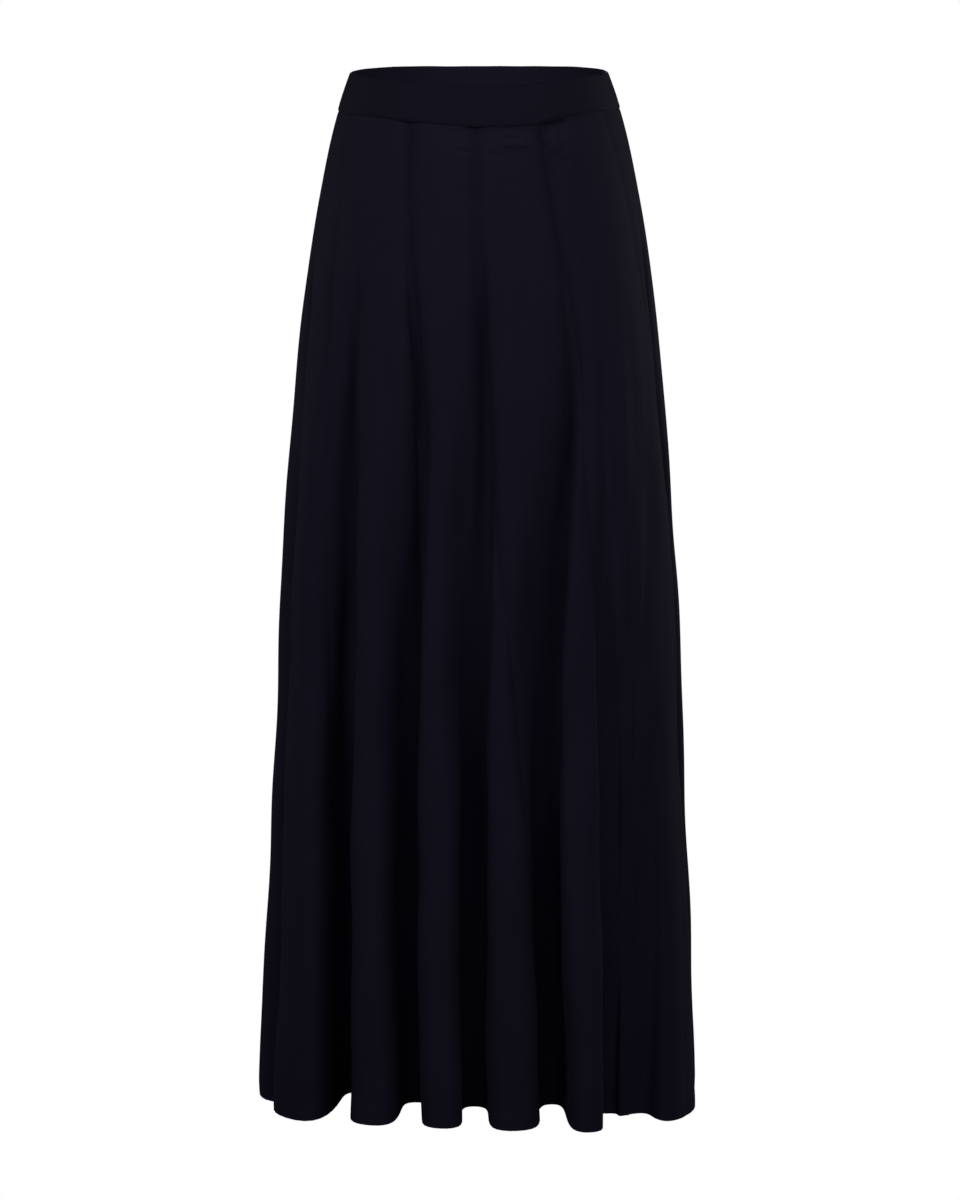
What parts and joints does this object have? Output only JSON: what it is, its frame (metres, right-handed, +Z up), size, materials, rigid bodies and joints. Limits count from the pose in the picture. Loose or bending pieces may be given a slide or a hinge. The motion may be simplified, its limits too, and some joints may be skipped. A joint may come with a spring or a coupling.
{
  "type": "a-line maxi skirt",
  "caption": "A-line maxi skirt of flared gores that fall in soft, deep folds from a plain waistband, worn and hollow, open at the waist and the hem.",
  "frame": {"origin": "the middle of the waist, half way up the waistband at the sides, where the wearer holds the skirt", "axes": "+Z up along the body, -Y towards the front, +X to the right of the front view"},
  "size_m": [0.4297, 0.2988, 1.002],
  "materials": {
    "navy_crepe": "smooth matte crepe jersey, very dark navy, with a faint sheen where it turns away",
    "navy_band": "the same cloth doubled, flat and pressed, with a folded top edge"
  },
  "bodies": {
    "root": {"gore_front_1": "navy_crepe", "gore_front_2": "navy_crepe", "gore_front_3": "navy_crepe", "gore_front_4": "navy_crepe", "gore_front_5": "navy_crepe", "gore_front_6": "navy_crepe", "gore_back_1": "navy_crepe", "gore_back_2": "navy_crepe", "gore_back_3": "navy_crepe", "gore_back_4": "navy_crepe", "gore_back_5": "navy_crepe", "gore_back_6": "navy_crepe", "waistband_front": "navy_band", "waistband_back": "navy_band"}
  },
  "joints": []
}
